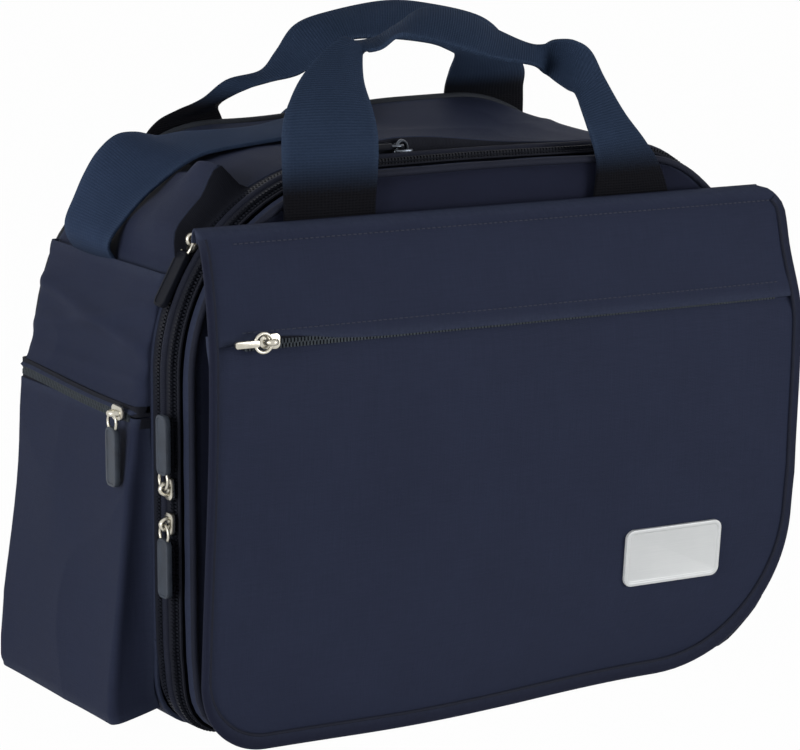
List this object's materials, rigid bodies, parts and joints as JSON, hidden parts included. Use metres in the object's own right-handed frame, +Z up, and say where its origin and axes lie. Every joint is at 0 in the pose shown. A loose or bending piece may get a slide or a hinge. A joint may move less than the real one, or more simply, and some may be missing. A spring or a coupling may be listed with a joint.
{
  "type": "changing bag",
  "caption": "Navy fabric changing bag with zipped compartments, a front flap, side pockets, webbing handles and a shoulder strap.",
  "frame": {"origin": "on the flat base that the bag stands on, at the middle of its width", "axes": "+Z up, the front with the flap faces -Y, +X to the right seen from the front"},
  "size_m": [0.428, 0.2926, 0.381],
  "materials": {
    "navy_cloth": "matte woven",
    "navy_webbing": "ribbed webbing",
    "dark_trim": "matte",
    "zip_tape": "matte",
    "grey_rubber": "matte",
    "bright_metal": "polished",
    "silver_plate": "satin",
    "dark_plastic": "matte"
  },
  "bodies": {
    "bag_shell": {"back_panel": "navy_cloth", "left_side_panel": "navy_cloth", "right_side_panel": "navy_cloth", "top_gusset": "navy_cloth", "bottom_panel": "navy_cloth", "base_board": "dark_plastic", "back_piping": "dark_trim", "main_zip_rear_tape": "zip_tape", "left_pocket_facing": "navy_cloth", "right_pocket_facing": "navy_cloth", "left_pocket_upper_tape": "zip_tape", "right_pocket_upper_tape": "zip_tape", "back_handle_left_tab": "navy_webbing", "back_handle_right_tab": "navy_webbing", "shoulder_strap": "navy_webbing"},
    "middle_section": {"divider_panel": "navy_cloth", "mid_piping": "navy_cloth", "main_zip_front_tape": "zip_tape", "front_zip_rear_tape": "zip_tape"},
    "front_section": {"front_panel": "navy_cloth", "front_piping": "dark_trim", "front_band": "navy_cloth", "front_zip_front_tape": "zip_tape", "front_handle_left_tab": "navy_webbing", "front_handle_right_tab": "navy_webbing", "front_loop_patch": "dark_trim"},
    "front_flap": {"flap_panel": "navy_cloth", "flap_binding": "dark_trim", "flap_zip_tape": "zip_tape", "label_plate": "silver_plate", "flap_hook_patch": "dark_trim"},
    "front_handle_loop": {"front_handle": "navy_webbing"},
    "back_handle_loop": {"back_handle": "navy_webbing"},
    "left_pocket_wall": {"left_pocket": "navy_cloth", "left_pocket_lower_tape": "zip_tape"},
    "right_pocket_wall": {"right_pocket": "navy_cloth", "right_pocket_lower_tape": "zip_tape"},
    "strap_buckle": {"strap_adjuster": "dark_plastic"},
    "main_zip_left_runner": {"main_zip_left_slider": "bright_metal"},
    "main_zip_left_pull": {"main_zip_left_link": "bright_metal", "main_zip_left_tab": "grey_rubber"},
    "main_zip_top_runner": {"main_zip_top_slider": "bright_metal"},
    "main_zip_top_pull": {"main_zip_top_link": "bright_metal", "main_zip_top_tab": "grey_rubber"},
    "front_zip_upper_runner": {"front_zip_upper_slider": "bright_metal"},
    "front_zip_upper_pull": {"front_zip_upper_link": "bright_metal", "front_zip_upper_tab": "grey_rubber"},
    "front_zip_lower_runner": {"front_zip_lower_slider": "bright_metal"},
    "front_zip_lower_pull": {"front_zip_lower_link": "bright_metal", "front_zip_lower_tab": "grey_rubber"},
    "flap_zip_runner": {"flap_zip_slider": "bright_metal"},
    "flap_zip_pull": {"flap_zip_link": "bright_metal", "flap_zip_tab": "bright_metal"},
    "left_pocket_runner": {"left_pocket_slider": "bright_metal"},
    "left_pocket_pull": {"left_pocket_link": "bright_metal", "left_pocket_tab": "grey_rubber"},
    "right_pocket_runner": {"right_pocket_slider": "bright_metal"},
    "right_pocket_pull": {"right_pocket_link": "bright_metal", "right_pocket_tab": "grey_rubber"}
  },
  "joints": [
    {"name": "main_zip_opening", "type": "hinge", "parent": "bag_shell", "child": "middle_section", "pos_m": [0, -0.0457, 0.004], "axis": [1, 0, 0], "range_deg": [0, 20]},
    {"name": "front_zip_opening", "type": "hinge", "parent": "middle_section", "child": "front_section", "pos_m": [0, -0.0609, 0.004], "axis": [1, 0, 0], "range_deg": [0, 15]},
    {"name": "flap_lift", "type": "hinge", "parent": "front_section", "child": "front_flap", "pos_m": [0, -0.084, 0.276], "axis": [-1, 0, 0], "range_deg": [0, 140]},
    {"name": "front_handle_fold", "type": "hinge", "parent": "front_section", "child": "front_handle_loop", "pos_m": [0, -0.0784, 0.282], "axis": [-1, 0, 0], "range_deg": [-90, 0]},
    {"name": "back_handle_fold", "type": "hinge", "parent": "bag_shell", "child": "back_handle_loop", "pos_m": [0, 0.12, 0.3], "axis": [-1, 0, 0], "range_deg": [0, 90]},
    {"name": "left_pocket_opening", "type": "hinge", "parent": "bag_shell", "child": "left_pocket_wall", "pos_m": [-0.1907, 0.036, 0.003], "axis": [0, -1, 0], "range_deg": [0, 18]},
    {"name": "right_pocket_opening", "type": "hinge", "parent": "bag_shell", "child": "right_pocket_wall", "pos_m": [0.1907, 0.036, 0.003], "axis": [0, 1, 0], "range_deg": [0, 18]},
    {"name": "strap_adjuster_slide", "type": "slide", "parent": "bag_shell", "child": "strap_buckle", "axis": [0, 0, 1], "range_m": [-0.025, 0.035]},
    {"name": "main_zip_left_run", "type": "hinge", "parent": "bag_shell", "child": "main_zip_left_runner", "pos_m": [-0.082, -0.0457, 0.195], "axis": [0, 1, 0], "range_deg": [-30, 40]},
    {"name": "main_zip_left_pull_swing", "type": "hinge", "parent": "main_zip_left_runner", "child": "main_zip_left_pull", "pos_m": [-0.16974, -0.0457, 0.26605], "axis": [0, 1, 0], "range_deg": [0, 150]},
    {"name": "main_zip_top_run", "type": "slide", "parent": "bag_shell", "child": "main_zip_top_runner", "axis": [1, 0, 0], "range_m": [-0.02, 0.12]},
    {"name": "main_zip_top_pull_swing", "type": "hinge", "parent": "main_zip_top_runner", "child": "main_zip_top_pull", "pos_m": [-0.042, -0.0457, 0.3079], "axis": [0, 1, 0], "range_deg": [0, 150]},
    {"name": "front_zip_upper_run", "type": "slide", "parent": "middle_section", "child": "front_zip_upper_runner", "axis": [0, 0, 1], "range_m": [0, 0.045]},
    {"name": "front_zip_upper_pull_swing", "type": "hinge", "parent": "front_zip_upper_runner", "child": "front_zip_upper_pull", "pos_m": [-0.1949, -0.0609, 0.137], "axis": [0, -1, 0], "range_deg": [0, 120]},
    {"name": "front_zip_lower_run", "type": "slide", "parent": "middle_section", "child": "front_zip_lower_runner", "axis": [0, 0, 1], "range_m": [-0.05, 0]},
    {"name": "front_zip_lower_pull_swing", "type": "hinge", "parent": "front_zip_lower_runner", "child": "front_zip_lower_pull", "pos_m": [-0.1949, -0.0609, 0.118], "axis": [0, 1, 0], "range_deg": [0, 120]},
    {"name": "flap_zip_run", "type": "slide", "parent": "front_flap", "child": "flap_zip_runner", "axis": [1, 0, 0], "range_m": [0, 0.3]},
    {"name": "flap_zip_pull_swing", "type": "hinge", "parent": "flap_zip_runner", "child": "flap_zip_pull", "pos_m": [-0.155, -0.10823, 0.219], "axis": [0, 0, 1], "range_deg": [0, 150]},
    {"name": "left_pocket_run", "type": "slide", "parent": "left_pocket_wall", "child": "left_pocket_runner", "axis": [0, 1, 0], "range_m": [0, 0.11]},
    {"name": "left_pocket_pull_swing", "type": "hinge", "parent": "left_pocket_runner", "child": "left_pocket_pull", "pos_m": [-0.2076, -0.026, 0.173], "axis": [0, 1, 0], "range_deg": [0, 150]},
    {"name": "right_pocket_run", "type": "slide", "parent": "right_pocket_wall", "child": "right_pocket_runner", "axis": [0, 1, 0], "range_m": [0, 0.11]},
    {"name": "right_pocket_pull_swing", "type": "hinge", "parent": "right_pocket_runner", "child": "right_pocket_pull", "pos_m": [0.2076, -0.026, 0.173], "axis": [0, -1, 0], "range_deg": [0, 150]}
  ]
}
